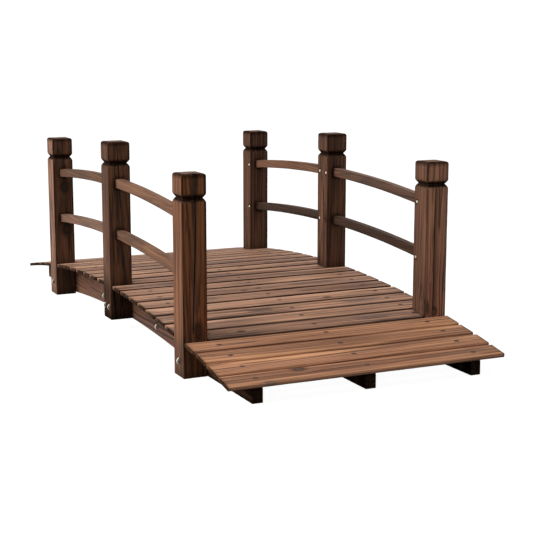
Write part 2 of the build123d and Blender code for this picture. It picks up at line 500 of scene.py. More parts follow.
def steel(name, colour, roughness, stained):
    """Plated steel with a fine grain, spotted with a little wood stain, and darkened by its smear: stain on
    one screw, a painted dark reflection on the bolts' domes.
    """
    metal = Finish(name)
    place = metal.node("TexCoord").outputs["Object"]
    grain = metal.noise(place, 900, 3, 0.6)
    spots = metal.noise(place, 260, 4, 0.6)
    tint = metal.mix(metal.band(grain, 0.3, 0.7, 0.0, 0.35), tuple(colour), tuple(0.6 * c for c in colour))
    tint = metal.mix(metal.band(spots, 0.55, 0.70, 0.0, stained), tint, STAIN_ON_STEEL)
    # The smear darkens: real stain on one screw, and a painted dark reflection on the front of the bolts'
    # domes.
    smear = metal.plus(metal.attribute("smear"), metal.times(metal.minus(spots, 0.5), 0.5))
    metal.shade(
        Base_Color=metal.mix(metal.band(smear, 0.35, 0.65, 0.0, 0.95), tint, STAIN_ON_STEEL),
        Roughness=metal.band(spots, 0.3, 0.7, roughness, roughness + 0.2),
        Normal=metal.bump(grain, 0.25, 0.0001),
        Metallic=1.0,
    )
    return metal.material


def finish_for(slot):
    """The finish of a material slot, made when it is first asked for."""
    name = slot + "_finish"
    made = bpy.data.materials.get(name)
    if made:
        return made
    settings = bpy.context.scene.footbridge
    if slot == "zinc_steel":
        return steel(name, settings.fixings.zinc, 0.42, 0.25)
    if slot == "dark_steel":
        return steel(name, settings.fixings.dark_steel, 0.50, 0.5)
    return stained_wood(name, getattr(settings, slot), RING_WIDTHS[slot])


# Timber -----------------------------------------------------------------------------------------


FAR_AWAY = 50.0                 # of marks that a timber doesn't have, in their own size
SMEAR_GREYNESS = 2.4
SCREW_MARK = (0.0042, 0.0060)   # of the dark mark round a deck screw, torn wood and painted shade, across and along the slat
SCREW_MARK_REACH = 0.05


@dataclass
class Mark:
    """A knot or a smear: an oval on the face that looks along Z, which reaches some way into the wood."""

    middle: tuple
    radius: float
    stretch: float = 1.5
    depth: float = 0.03

    def place_of(self, points):
        """Where points lie in the mark's own size: across it, along the grain and into the wood."""
        return (points - self.middle) / (self.radius, self.radius * self.stretch, self.depth)


@dataclass
class DarkLine:
    """A black line along the grain of the face that looks along Z, through (along, across) points."""

    path: tuple
    radius: float
    face: float
    depth: float = 0.012

    def place_of(self, points):
        """Where points lie from the line, in its own size: across it, past its ends and into the wood."""
        alongs, acrosses = zip(*self.path)
        across, along, through = points.T
        past = np.maximum.reduce([alongs[0] - along, along - alongs[-1], np.zeros(len(along))])
        offset = across - np.interp(along, alongs, acrosses)
        into = self.face - through
        return np.stack((offset / self.radius, past / (6 * self.radius), into / self.depth), axis=1)


@dataclass
class Stock:
    """The wood that one timber was sawn from, and how it took its stain, with painted light and shade on the
    faces that it lists.
    """

    pith: tuple
    lean: tuple
    start: float
    tone: float = 1.0
    greyness: float = 0.5
    warmth: float = 1.0
    # tone and warmth by the way a face looks: painted light and shade
    faces: dict = field(default_factory=dict)
    knots: list = field(default_factory=list)
    dark_streak_and_crack_shade: DarkLine = None
    smears: list = field(default_factory=list)
    screws: list = field(default_factory=list)

    def log_place(self, points):
        """Where points of the timber were in the log, whose pith runs along Y."""
        along = points[:, 1]
        from_pith = [points[:, axis] + self.pith[i] + self.lean[i] * along for i, axis in enumerate((0, 2))]
        return np.stack((from_pith[0], along + self.start, from_pith[1]), axis=1)

    def stain(self, points, normals):
        """Tone, greyness and warmth at points. A face that looks in a listed direction has its own share
        of tone and warmth: painted light and shade, by the way that the face looks."""
        own = (self.tone, self.greyness, self.warmth)
        tone, greyness, warmth = (np.full(len(points), value) for value in own)
        # Painted light and shade: faces that look some ways are made lighter or darker.
        for direction, (face_light_tone, face_light_warmth) in self.faces.items():
            on_face = eased(normals @ direction, 0.80, 0.97)
            tone *= 1 + (face_light_tone - 1) * on_face
            warmth *= 1 + (face_light_warmth - 1) * on_face
        for smear in self.smears:
            distance = np.linalg.norm(smear.place_of(points)[:, :2], axis=1)
            greyness = np.maximum(greyness, SMEAR_GREYNESS * (1 - eased(distance, 0.4, 1.2)))
        return np.stack((tone, greyness, warmth), axis=1)

    def screw_marks(self, points):
        """Where points lie from the nearest screw, in the size of its mark, and whether they are near."""
        if not self.screws:
            return np.full(points.shape, (FAR_AWAY, FAR_AWAY, 0.0))
        offsets = points[:, None, :2] - np.array(self.screws)[None]
        nearest = np.abs(offsets[:, :, 1]).argmin(axis=1)
        offset = offsets[np.arange(len(points)), nearest]
        near = (np.abs(offset[:, 1]) < SCREW_MARK_REACH) * (points[:, 2] > 0)
        return np.column_stack((offset / SCREW_MARK, near))

    def attributes(self, points, normals):
        """All that the finish reads of the wood, by name."""
        nowhere = np.full(points.shape, FAR_AWAY)
        knots = [knot.place_of(points) for knot in self.knots]
        knot_1, knot_2 = [*knots, nowhere, nowhere][:2]
        return {
            "log_place": self.log_place(points),
            "knot_1": knot_1,
            "knot_2": knot_2,
            "dark_streak_and_crack_shade": self.dark_streak_and_crack_shade.place_of(points) if self.dark_streak_and_crack_shade else nowhere,
            "stain": self.stain(points, normals),
            "screw_mark": self.screw_marks(points),
        }


def pick_stock(name, pith_across=0.03, pith_through=(0.03, 0.08), lean=0.02, tone_play=0.05):
    """Stock at random, but always the same for a timber's name."""
    pick = random.Random(name)
    return Stock(
        pith=(pick.uniform(-pith_across, pith_across), pick.choice((-1, 1)) * pick.uniform(*pith_through)),
        lean=(pick.uniform(-lean, lean), pick.uniform(-lean, lean)),
        start=pick.uniform(0, 40),
        tone=pick.uniform(1 - tone_play, 1 + tone_play),
        greyness=pick.uniform(0.1, 1.0),
    )


def sawn_timber(width, length, thickness, stations, loops_across=(), loops_through=()):
    """A squared timber round its own middle, with edge loops at stations along it and near its edges."""
    bm = bmesh.new()
    bmesh.ops.create_cube(bm, size=1, matrix=Matrix.Diagonal((width, length, thickness, 1)))
    for axis, places in ((ALONG, stations), (ACROSS, loops_across), (THROUGH, loops_through)):
        for place in places:
            whole = bm.verts[:] + bm.edges[:] + bm.faces[:]
            bmesh.ops.bisect_plane(bm, geom=whole, dist=1e-7, plane_co=axis * place, plane_no=axis)
    return bm


def spaced(low, high, step):
    """Places between two ends, not counting the ends, about a step apart."""
    count = max(1, round((high - low) / step))
    return [low + (high - low) * i / count for i in range(1, count)]


def round_edges(bm, edges, radius, segments):
    bmesh.ops.bevel(
        bm, geom=edges, offset=radius, offset_type="OFFSET", segments=segments, profile=0.5,
        affect="EDGES", clamp_overlap=True, material=-1,
    )


def ease(bm, radius, segments, chosen=None):
    """Rounds the sharp edges: all of them, or those that are chosen."""
    sharp = [e for e in bm.edges if e.is_manifold and e.calc_face_angle() > SHARP]
    round_edges(bm, [e for e in sharp if chosen is None or chosen(e)], radius, segments)


def is_long(edge):
    """Whether an edge runs along the grain."""
    return abs((edge.verts[0].co - edge.verts[1].co).normalized().y) > 0.9


def wave(bm, depth, name):
    """Lets the surface wave, in the timber's own way. Points only move inwards, to stay in its solid."""
    bm.normal_update()
    seed = random.Random(name).randrange(9999)
    away = Vector((seed % 97, seed % 89, seed % 83))
    moves = []
    for vertex in bm.verts:
        across, along, through = vertex.co
        coarse = noise.noise(Vector((across, along * 0.3, through)) * 60 + away)
        fine = noise.noise(Vector((across, along * 0.5, through)) * 240 + away)
        share = 0.5 + 0.42 * coarse + 0.35 * fine
        moves.append((vertex, vertex.normal * depth * max(0.0, min(1.0, share))))
    for vertex, move in moves:
        vertex.co -= move


def mesh_object(name, bm):
    """An object in the scene with a bmesh's shape, which is freed."""
    mesh = bpy.data.meshes.new(name)
    bm.to_mesh(mesh)
    bm.free()
    made = bpy.data.objects.new(name, mesh)
    bpy.context.scene.collection.objects.link(made)
    return made


def carve(bm, cutter):
    """The shape with the cutter's closed shells taken out of it."""
    wood, tool = mesh_object("carved", bm), mesh_object("cutter", cutter)
    cut = wood.modifiers.new("cut", "BOOLEAN")
    cut.operation, cut.solver, cut.use_self, cut.object = "DIFFERENCE", "EXACT", True, tool
    evaluated = wood.evaluated_get(bpy.context.evaluated_depsgraph_get())
    mesh = bpy.data.meshes.new_from_object(evaluated)
    result = bmesh.new()
    result.from_mesh(mesh)
    bpy.data.meshes.remove(mesh)
    for used in (wood, tool):
        data = used.data
        bpy.data.objects.remove(used)
        bpy.data.meshes.remove(data)
    return result


def write_attribute(mesh, name, values):
    """Writes a number or, for rows of three, a vector at each point."""
    kind, key = ("FLOAT_VECTOR", "vector") if values.ndim == 2 else ("FLOAT", "value")
    made = mesh.attributes.new(name, kind, "POINT")
    made.data.foreach_set(key, np.ascontiguousarray(values, np.float32).ravel())


def surface_of(mesh):
    """The places and the normals of a mesh's points."""
    places, normals = (np.empty((len(mesh.vertices), 3), np.float32) for _ in range(2))
    mesh.vertices.foreach_get("co", places.ravel())
    mesh.vertex_normals.foreach_get("vector", normals.ravel())
    return places.astype(float), normals.astype(float)


def nothing(points, normals=None):
    """Zero at each point, of what a piece doesn't have."""
    return np.zeros(len(points))


def dress(thing, slot):
    """Gives a piece its finish and its shading, and lets it ride on the bridge's only body."""
    mesh = thing.data
    mesh.materials.append(finish_for(slot))
    mesh.polygons.foreach_set("use_smooth", [True] * len(mesh.polygons))
    mesh.set_sharp_from_angle(angle=SHARP)
    mesh.update()
    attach(thing, "root")


def lay_timber(name, bm, place, slot, stock, scorch, wear=nothing):
    """Finishes a timber and lays it in its place on the bridge, where it stands for its solid."""
    timber = mesh_object(name, bm)
    points, normals = surface_of(timber.data)
    attributes = stock.attributes(points, normals) | {"scorch": scorch(points), "wear": wear(points)}
    for attribute, values in attributes.items():
        write_attribute(timber.data, attribute, values)
    timber.data.transform(place)
    dress(timber, slot)
    return timber


def eased(value, low, high):
    """0 below low, 1 above high and smooth between, for arrays of values."""
    share = np.clip((value - low) / (high - low), 0, 1)
    return share * share * (3 - 2 * share)


# Deck -------------------------------------------------------------------------------------------


FRONT_EDGE = (1, 0, 0)          # the way that a slat's front edge looks
SLAT_FACE = 0.004               # where knots and smears lie, close to the slats' tops
RAMP_START = 0.535              # the slats from here on are ramps, and those in front are lighter
RAMP_TONE = 1.10
DECK_TONE = 1.03
FAR_DECK_TONE = 1.08
SMEAR_WIDTH = 0.014
SLAT_END_ROUND = 0.0006
SIDE_SCORCH_AND_SHADE = (0.0006, 0.0066)   # how far the dark from a slat's front edge reaches over its face: scorch, and painted shade of the gap
BACK_SCORCH_AND_SHADE = 0.0016             # and from its back edge
# Grey smears on some slats: places along the slat, and how far they reach
SMEARS = {
    "deck_slat_21": ((0.150, 0.070),),
    "deck_slat_19": ((0.190, 0.080), (-0.08, 0.05)),
    "deck_slat_17": ((-0.17, 0.06),),
    "deck_slat_16": ((0.150, 0.090),),
}


def is_on_ramp(node):
    """Whether a slat lies beyond the end posts."""
    return abs(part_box(node)[0].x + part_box(node)[1].x) / 2 > RAMP_START


def slat_place(node):
    """The place of a slat, square to the arc of the deck."""
    low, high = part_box(node)
    middle = (low + high) / 2
    slope = math.asin(middle.x / (DECK_RADIUS - SLAT_THICKNESS / 2))
    return Matrix.Translation(middle) @ Matrix.Rotation(slope, 4, "Y")


def slat_screws(node):
    """Where a slat is screwed to the three beams, across it and along it from its middle."""
    pick = random.Random(node + " screws")
    places = []
    for beam in ("left", "middle", "right"):
        low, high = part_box(f"beam_front_{beam}")
        places.append((pick.uniform(-0.005, 0.003), (low.y + high.y) / 2 + pick.uniform(-0.002, 0.004)))
    return places


def slat_stock(node):
    """The wood of a slat. Some slats have a knot or a smudge that is all their own."""
    stock = pick_stock(node, pith_through=(0.012, 0.05), lean=0.010, tone_play=0.14)
    stock.screws = slat_screws(node)
    is_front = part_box(node)[0].x > 0
    if is_on_ramp(node) and is_front:
        stock.tone = RAMP_TONE + (stock.tone - 1) * 0.5
        stock.warmth = 1.13
        stock.greyness = -1.0
    else:
        stock.tone *= DECK_TONE if is_front else FAR_DECK_TONE
    pick = random.Random(node + " front")
    # Painted light and shade: the ramp's front faces lit brighter, the deck's darkened as shade in the gaps.
    stock.faces = {FRONT_EDGE: (2.2, 0.95) if is_on_ramp(node) else (pick.uniform(0.2, 1.0), 0.90)}
    for along, reach in SMEARS.get(node, ()):
        stock.smears.append(Mark((-0.008, along, SLAT_FACE), SMEAR_WIDTH, reach / SMEAR_WIDTH))
    pick = random.Random(node + " knot")
    if pick.random() < 0.5:
        middle = (pick.uniform(-0.02, 0.02), pick.uniform(-0.3, 0.3), SLAT_FACE)
        stock.knots = [Mark(middle, pick.uniform(0.0025, 0.0045), pick.uniform(1.5, 2.5), 0.02)]
    if node == SLAT_NODES[-1]:
        stock.knots = [Mark((-0.018, -0.155, SLAT_FACE), 0.0062, 1.9, 0.02)]
        stock.smears.append(Mark((0.026, -0.240, SLAT_FACE), 0.0075, 2.2))
    return stock


def slat_blank(node, length, settings):
    """A slat before its screws' seats are cut, with its upper edges rounded more than the others."""
    half_width, half_length = SLAT_WIDTH / 2, length / 2
    loops_across = [side * (half_width - inset) for side in (-1, 1) for inset in (0.005, 0.015)] + [0]
    stations = [side * (half_length - inset) for side in (-1, 1) for inset in (0.003, 0.009)]
    stations += spaced(-half_length + 0.009, half_length - 0.009, 0.012)
    bm = sawn_timber(SLAT_WIDTH, length, SLAT_THICKNESS, sorted(stations), sorted(loops_across))
    edge_round = settings.deck.edge_round * (1.5 if is_on_ramp(node) else 1)
    ease(bm, edge_round, 3, lambda e: is_long(e) and e.verts[0].co.z > 0)
    ease(bm, SLAT_END_ROUND, 2)
    wave(bm, settings.deck.wave, node)
    return bm


def build_slat(node, settings):
    """A slat of the deck, a little shorter than its solid, with seats for its screws."""
    low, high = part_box(node)
    is_front, is_ramp = low.x > 0, is_on_ramp(node)
    pick = random.Random(node + " ends")
    length = high.y - low.y - 2 * settings.deck.end_play * pick.random()
    half_width, half_length = SLAT_WIDTH / 2, length / 2
    side_scorch_and_shade = pick.uniform(0.0 if is_front else 0.8, 1.0)
    least, most = SIDE_SCORCH_AND_SHADE
    side_reach = least + (most - least) * pick.random() ** (2 if is_front else 0.5)
    edge_wear_and_highlight = pick.uniform(0.2, 0.8)
    if is_ramp:
        side_scorch_and_shade, side_reach, edge_wear_and_highlight = 0.0, least, 0.3 * edge_wear_and_highlight
    seats = [Matrix.Translation((*spot, SLAT_THICKNESS / 2)) for spot in slat_screws(node)]
    bm = slat_blank(node, length, settings)
    bm = carve(bm, screw_seats(seats, settings.fixings.screw_head / 2))

    def scorch(points):
        across, along, _ = np.abs(points.T)
        sawn_end = 0.92 * eased(along, half_length - 0.0025, half_length - 0.0006)
        near_end = 0.40 * eased(along, half_length - 0.008, half_length)
        reach = np.where(points[:, 0] > 0, side_reach, BACK_SCORCH_AND_SHADE)
        # Dark sides: scorch, and painted shade of the gaps between the slats.
        sides = side_scorch_and_shade * eased(across, half_width - reach, half_width - 0.0003)
        # Painted shade on the slats' undersides.
        underside = 0.75 * (points[:, 2] < -0.003)
        return np.maximum.reduce([sawn_end, near_end, sides, underside])

    # Pale back edges: wear, and a painted highlight where the rounded edge catches the light.
    def wear(points):
        across, _, through = points.T
        return edge_wear_and_highlight * eased(-across, half_width - 0.018, half_width - 0.004) * (through > 0)

    slat = lay_timber(node + "_board", bm, slat_place(node), "deck_wood", slat_stock(node), scorch, wear)
    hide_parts(node)


# Posts ------------------------------------------------------------------------------------------


POST_FOOT_CHAMFER = 0.0012
MORTISE_CLEARANCE = 0.0007
MORTISE_MOUTH = 0.004           # how far a mortise's cutter stands out of the post
MORTISE_ROUND = 0.003
CRACK_POINTS = 4                # of a post's black line, that its drying crack follows
CRACK_WANDER = 0.0007


@dataclass
class PostLook:
    """How a post is coloured: (tone, warmth) of two faces, which are painted light and shade, and the marks
    on its front face. Knots and smears are (across, height, radius, stretch), and its black line goes
    through (height, across) points."""

    front: tuple
    left: tuple
    foot: float                 # how dark it is at its foot: painted shade under the deck
    greyness: float = None      # at random if it isn't given
    knots: tuple = ()
    smears: tuple = ()
    line: tuple = ()
    line_radius: float = 0.0
    crack: tuple = ()           # width and depth


POST_LOOKS = {
    "post_front_left": PostLook(
        front=(1.52, 1.17), left=(1.60, 1.10), foot=0.25, greyness=-1.25,
        knots=((0.0070, 0.104, 0.0065, 2.6), (0.0035, 0.458, 0.0042, 9.0)),
        smears=((0.0030, 0.098, 0.018, 1.8), (-0.0220, 0.035, 0.017, 4.0)),
        line=((0.108, -0.0052), (0.190, -0.0023), (0.274, 0.0009), (0.389, 0.0026), (0.450, 0.0035)),
        line_radius=0.0018, crack=(0.0030, 0.010),
    ),
    "post_front_right": PostLook(
        front=(3.30, 0.98), left=(0.92, 0.98), foot=0.10, greyness=-0.4,
        knots=((-0.0020, 0.093, 0.0055, 1.5), (-0.0215, 0.103, 0.0036, 3.2)),
        smears=((0.0, 0.092, 0.011, 1.8),),
        line=((0.100, -0.0072), (0.180, -0.0060), (0.290, -0.0066), (0.388, -0.0052)),
        line_radius=0.0013, crack=(0.0018, 0.008),
    ),
    "post_middle_left": PostLook(
        front=(1.04, 1.06), left=(0.86, 1.08), foot=0.62,
        smears=((-0.011, 0.310, 0.009, 8.0), (0.006, 0.137, 0.007, 7.0)),
        line=((0.040, 0.002), (0.150, 0.006), (0.260, 0.004), (0.385, -0.003)), line_radius=0.0012,
    ),
    "post_middle_right": PostLook(front=(0.98, 1.06), left=(0.87, 1.04), foot=0.50),
    "post_back_left": PostLook(
        front=(0.67, 1.06), left=(2.00, 0.96), foot=0.30,
        knots=((0.004, 0.312, 0.0095, 1.3), (0.006, 0.190, 0.0110, 1.3)),
    ),
    "post_back_right": PostLook(front=(0.72, 1.04), left=(0.76, 1.08), foot=0.40),
}


def post_inset(height, length):
    """How far a post's faces lie in from its square: at its groove, its rounded top and its foot."""
    from_groove = abs(height - (length - CAP_HEIGHT)) / GROOVE_REACH
    if from_groove < 1:
        return GROOVE_DEPTH * (1 - from_groove) ** 1.5
    above = height - (length - CAP_ROUND)
    if above > 0:
        return CAP_ROUND - math.sqrt(max(0.0, CAP_ROUND**2 - above**2))
    return max(0.0, POST_FOOT_CHAMFER - height)


def post_place(node):
    """The place of a post, from the middle of its foot."""
    low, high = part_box(node)
    foot = Vector(((low.x + high.x) / 2, (low.y + high.y) / 2, low.z))
    return Matrix.Translation(foot) @ UPRIGHT


def rail_drop(x):
    """How far a rail's arc has dropped at a place along the bridge."""
    return RAIL_RADIUS - math.sqrt(RAIL_RADIUS**2 - x**2)


def rail_level(node, x=0.0):
    """Height of a rail's centre line at a place along the bridge, or where it would cross its middle."""
    low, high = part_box(node)
    inner = min(abs(low.x), abs(high.x))
    return high.z - RAIL_HEIGHT / 2 + rail_drop(inner) - rail_drop(x)


def rails_of(node):
    """The rails that end in a post, each with the side of the post that it comes in at (1 is +X)."""
    low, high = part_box(node)
    found = []
    for rail in RAIL_NODES:
        rail_low, rail_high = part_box(rail)
        same_side = (rail_low.y > 0) == (low.y > 0)
        if same_side and rail_low.x < high.x and rail_high.x > low.x:
            found.append((rail, 1 if rail_high.x > high.x else -1))
    return found


def mortise_mouth(node, rail, side):
    """The middle of a mortise's mouth, on the post's face."""
    low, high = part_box(node)
    x = high.x if side > 0 else low.x
    return Vector((x, (low.y + high.y) / 2, rail_level(rail, x)))


def mortises(node):
    """Round-cornered pockets for the rails of a post, in the post's own axes."""
    low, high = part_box(node)
    middle_x = (low.x + high.x) / 2
    half = (high.x - low.x) / 2
    bm = bmesh.new()
    for rail, side in rails_of(node):
        face_z = rail_level(rail, middle_x + side * half)
        floor_z = rail_level(rail, middle_x + side * (half - MORTISE_DEPTH))
        width = RAIL_THICKNESS + 2 * MORTISE_CLEARANCE
        height = RAIL_HEIGHT + abs(face_z - floor_z) + 2 * MORTISE_CLEARANCE
        size = Matrix.Diagonal((width, height, MORTISE_DEPTH + MORTISE_MOUTH, 1))
        middle = (0, (face_z + floor_z) / 2 - low.z, side * (half - (MORTISE_DEPTH - MORTISE_MOUTH) / 2))
        made = bmesh.ops.create_cube(bm, size=1, matrix=Matrix.Translation(middle) @ size)
        edges = dict.fromkeys(e for v in made["verts"] for e in v.link_edges)
        deep = [e for e in edges if abs(e.verts[0].co.z - e.verts[1].co.z) > MORTISE_DEPTH]
        round_edges(bm, deep, MORTISE_ROUND, 3)
    return bm


def crack_blade(node, face):
    """A thin wedge that opens a drying crack in a post's front face."""
    look = POST_LOOKS[node]
    width, depth = look.crack
    heights, offsets = zip(*look.line[:CRACK_POINTS])
    low, high = heights[0], heights[-1]
    seed = random.Random(node).uniform(0, 90)
    bm = sawn_timber(1, high - low, 1, spaced((low - high) / 2, (high - low) / 2, 0.006))
    for vertex in bm.verts:
        height = vertex.co.y + (low + high) / 2
        share = max(0.12, math.sin(math.pi * (height - low) / (high - low))) ** 0.6
        share *= 0.85 + 0.5 * noise.noise((height * 70, seed, 0))
        middle = np.interp(height, heights, offsets) + CRACK_WANDER * noise.noise((height * 55, seed, 5))
        is_deep = vertex.co.z < 0
        vertex.co.x = middle + vertex.co.x * width * share * (0.3 if is_deep else 1)
        vertex.co.y = height
        vertex.co.z = face - depth * share if is_deep else face + 0.001
    return bm


def post_screws(node):
    """Where the screws that hold the rails' tenons are, on the post's face at the walkway."""
    low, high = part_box(node)
    pick = random.Random(node + " screws")
    inwards = 1 if low.y < 0 else -1
    places = []
    for rail, side in rails_of(node):
        x = high.x - RAIL_SCREW_INSET if side > 0 else low.x + RAIL_SCREW_INSET
        x += pick.uniform(-0.0015, 0.0015)
        level = rail_level(rail, x) + pick.uniform(-0.002, 0.002)
        places.append(turned_to((0, inwards, 0), (x, high.y if inwards > 0 else low.y, level)))
    return places


def post_stock(node):
    """The wood of a post, sawn round the heart of a small log so that its faces show arched grain."""
    look = POST_LOOKS[node]
    low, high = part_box(node)
    face = (high.x - low.x) / 2 - 0.0001
    stock = pick_stock(node, pith_across=0.012, pith_through=(0.0, 0.012), lean=0.045, tone_play=0.03)
    # Painted light and shade: the front and left faces made lighter or darker by the way they look.
    stock.faces = {(0, 0, 1): look.front, (-1, 0, 0): look.left}
    stock.knots, stock.smears = (
        [Mark((across, height, face), radius, stretch) for across, height, radius, stretch in marks]
        for marks in (look.knots, look.smears)
    )
    if look.greyness is not None:
        stock.greyness = look.greyness
    if look.line:
        stock.dark_streak_and_crack_shade = DarkLine(look.line, look.line_radius, face)
    return stock


def post_blank(node, settings):
    """A post before anything is cut into it, with its foot at Y = 0."""
    low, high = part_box(node)
    size, length = high.x - low.x, high.z - low.z
    half = size / 2
    groove = length - CAP_HEIGHT
    stations = [
        POST_FOOT_CHAMFER, 0.002, *spaced(0.002, groove - GROOVE_REACH, 0.009),
        *(groove + GROOVE_REACH * share / 8 for share in range(-8, 9)),
        *spaced(groove + GROOVE_REACH, length - CAP_ROUND, 0.008),
        *(length - CAP_ROUND * share for share in (0.12, 0.3, 0.5, 0.75, 1.0)),
    ]
    loops_across = (-half + 0.006, -half / 3, half / 3, half - 0.006)
    loops_through = (-half + 0.006, -0.009, 0.009, half - 0.006)
    bm = sawn_timber(size, length, size, [s - length / 2 for s in stations], loops_across, loops_through)
    bmesh.ops.translate(bm, verts=bm.verts[:], vec=ALONG * length / 2)
    ease(bm, settings.posts.edge_round, 3, is_long)
    for vertex in bm.verts:
        share = 1 - post_inset(vertex.co.y, length) / half
        vertex.co.x *= share
        vertex.co.z *= share
    wave(bm, settings.posts.wave, node)
    return bm


def build_post(node, settings):
    """A post with its mortises, screws' seats and bolt holes, and a drying crack where it has one."""
    low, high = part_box(node)
    half, length = (high.x - low.x) / 2, high.z - low.z
    groove = length - CAP_HEIGHT
    place = post_place(node)
    to_local = place.inverted()
    bolts = bolts_in(node, place)
    screws = [to_local @ screw for screw in post_screws(node)]
    mouths = [to_local @ Matrix.Translation(mortise_mouth(node, *rail)) for rail in rails_of(node)]
    cutters = [mortises(node), screw_seats(screws, settings.fixings.screw_head / 2), bolt_holes(bolts)]
    if POST_LOOKS[node].crack:
        cutters.append(crack_blade(node, half))
    bm = post_blank(node, settings)
    for cutter in cutters:
        bm = carve(bm, cutter)

    def scorch(points):
        across, along, through = points.T
        nearer, farther = np.sort(np.abs((across, through)), axis=0)
        in_groove = 0.95 * (1 - eased(np.abs(along - groove), 0.003, 0.012))
        top_edge = 0.8 * eased(along, length - 0.010, length - 0.004)
        top_edge *= eased(farther, half - 0.012, half - 0.006)
        cap_corner = 0.8 * eased(along, groove, groove + 0.01) * eased(nearer, half - 0.007, half - 0.002)
        long_corner = 0.5 * eased(nearer, half - 0.005, half - 0.0015)
        # Darker towards the foot: painted shade under the deck, and some scorch at the very foot.
        foot = POST_LOOKS[node].foot * (1 - eased(along, 0.07, 0.13)) + 0.3 * (1 - eased(along, 0.0, 0.03))
        rings = [0.85 * ring_round(points, bolt, BOLT_HEAD_RADIUS) for bolt in bolts]
        rings += [0.85 * ring_round(points, screw, 0.004) for screw in screws]
        # Darker round the mortises: scorch, and painted shade where the rails go in.
        pockets = [0.8 * ring_round(points, mouth, 0.012, 0.014) for mouth in mouths]
        return np.maximum.reduce([in_groove, top_edge, cap_corner, long_corner, foot, *rings, *pockets])

    post = lay_timber(node + "_timber", bm, place, "post_wood", post_stock(node), scorch)
    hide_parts(node)


# Rails ------------------------------------------------------------------------------------------


RAIL_WAVE = 0.0004
RAIL_EDGE_ROUND = 0.0022
RAIL_TONES = {                 # tone and warmth of the rails that aren't like the rest
    "rail_lower_front_right": (0.33, 0.94),
    "rail_lower_back_right": (0.32, 1.00),
    "rail_upper_front_right": (0.88, 0.92),
    "rail_upper_front_left": (1.00, 0.97),
    "rail_upper_back_left": (0.80, 1.0),
    "rail_lower_back_left": (1.25, 0.92),
    "rail_upper_back_right": (1.0, 0.98),
}


def build_rail(node):
    """A rail that bends with its arc, darker where it enters the posts."""
    low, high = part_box(node)
    middle = (low + high) / 2
    length = high.x - low.x
    bm = sawn_timber(RAIL_HEIGHT, length, RAIL_THICKNESS, spaced(-length / 2, length / 2, 0.010))
    ease(bm, RAIL_EDGE_ROUND, 3, is_long)
    for vertex in bm.verts:
        vertex.co.x -= rail_drop(vertex.co.y + middle.x)
    wave(bm, RAIL_WAVE, node)
    stock = pick_stock(node)
    tone, stock.warmth = RAIL_TONES.get(node, (1.0, 1.0))
    stock.tone *= tone
    if "right" in node:
        # Painted light and shade: the right rails' tops lighter and their left faces darker.
        stock.faces = {(1, 0, 0): (1.35, 0.95), (0, 0, -1): (0.85, 1.0)}

    def near_edge(offset, size):
        return eased(np.abs(offset), size / 2 - 0.0026, size / 2 - 0.0012)

    def scorch(points):
        across, along, through = points.T
        drop = np.array([rail_drop(x) for x in along + middle.x])
        edges = 0.45 * near_edge(across + drop, RAIL_HEIGHT) * near_edge(through, RAIL_THICKNESS)
        # Darker near the ends, where the rail goes into the posts.
        return np.maximum(0.65 * eased(np.abs(along), length / 2 - 0.038, length / 2 - 0.018), edges)

    place = Matrix.Translation((middle.x, middle.y, rail_level(node))) @ ON_EDGE
    rail = lay_timber(node + "_bar", bm, place, "rail_wood", stock, scorch)
    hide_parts(node)


# Beams ------------------------------------------------------------------------------------------


BEAM_WAVE = 0.0003
BEAM_EDGE_ROUND = 0.0012


def beam_top(x, end_x):
    """Height of a beam's top over the middle of its arc."""
    arc = math.sqrt(BEAM_TOP_RADIUS**2 - x**2)
    return arc - max(0.0, abs(x) - (abs(end_x) - BEAM_END_CHAMFER))


def beam_bottom(x):
    """Height of a beam's underside, which is arched between its feet."""
    radius = (ARCH_SPAN**2 / 4 + ARCH_RISE**2) / (2 * ARCH_RISE)
    if abs(x) >= ARCH_SPAN / 2:
        return 0.0
    return math.sqrt(radius**2 - x**2) - radius + ARCH_RISE


